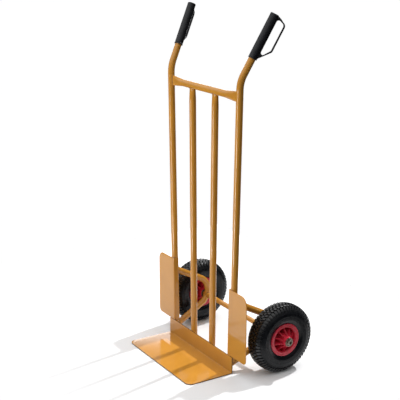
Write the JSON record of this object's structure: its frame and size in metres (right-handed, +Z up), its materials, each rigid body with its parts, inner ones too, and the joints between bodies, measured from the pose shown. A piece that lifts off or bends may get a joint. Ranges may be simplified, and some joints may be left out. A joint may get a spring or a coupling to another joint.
{
  "type": "hand truck",
  "caption": "Upright two-wheeled sack truck: welded tube frame, folded toe plate, wheel guards, knuckle-guard grips and pneumatic wheels with ribbed plastic rims.",
  "frame": {"origin": "on the floor, at the middle of the truck's bounding box, between the toe plate and the wheels", "axes": "+Z up, -Y the way the toe plate points, +X across the truck along the axle towards the right wheel"},
  "size_m": [0.694, 0.486, 1.3024],
  "materials": {
    "frame_paint": "semi-gloss golden-ochre powder coat",
    "grip_plastic": "fine matte grain",
    "cap_plastic": "matte",
    "rim_plastic": "semi-gloss moulded",
    "tyre_rubber": "satin black rubber",
    "tube_rubber": "matte butyl rubber",
    "zinc_steel": "dull zinc plate",
    "bearing_steel": "ground",
    "cage_nylon": "matte"
  },
  "bodies": {
    "frame": {"left_upright": "frame_paint", "right_upright": "frame_paint", "top_crossbar": "frame_paint", "left_load_bar": "frame_paint", "right_load_bar": "frame_paint", "toe_plate": "frame_paint", "left_wheel_guard": "frame_paint", "right_wheel_guard": "frame_paint", "left_axle_hoop": "frame_paint", "right_axle_hoop": "frame_paint", "axle": "frame_paint", "left_grip": "grip_plastic", "right_grip": "grip_plastic", "left_inner_washer": "zinc_steel", "right_inner_washer": "zinc_steel", "left_outer_washer": "zinc_steel", "right_outer_washer": "zinc_steel", "left_split_pin": "zinc_steel", "right_split_pin": "zinc_steel"},
    "left_wheel": {"left_tyre": "tyre_rubber", "left_inner_tube": "tube_rubber", "left_valve_cap": "cap_plastic", "left_rim_outer_half": "rim_plastic", "left_rim_inner_half": "rim_plastic", "left_rim_bolts": "zinc_steel", "left_hub_sleeve": "zinc_steel", "left_roller_cage": "cage_nylon", "left_rollers": "bearing_steel"},
    "right_wheel": {"right_tyre": "tyre_rubber", "right_inner_tube": "tube_rubber", "right_valve_cap": "cap_plastic", "right_rim_outer_half": "rim_plastic", "right_rim_inner_half": "rim_plastic", "right_rim_bolts": "zinc_steel", "right_hub_sleeve": "zinc_steel", "right_roller_cage": "cage_nylon", "right_rollers": "bearing_steel"}
  },
  "joints": [
    {"name": "left_wheel_spin", "type": "hinge", "parent": "frame", "child": "left_wheel", "pos_m": [-0.281, 0.11304, 0.13], "axis": [1, 0, 0], "continuous": true},
    {"name": "right_wheel_spin", "type": "hinge", "parent": "frame", "child": "right_wheel", "pos_m": [0.281, 0.11304, 0.13], "axis": [1, 0, 0], "continuous": true}
  ]
}
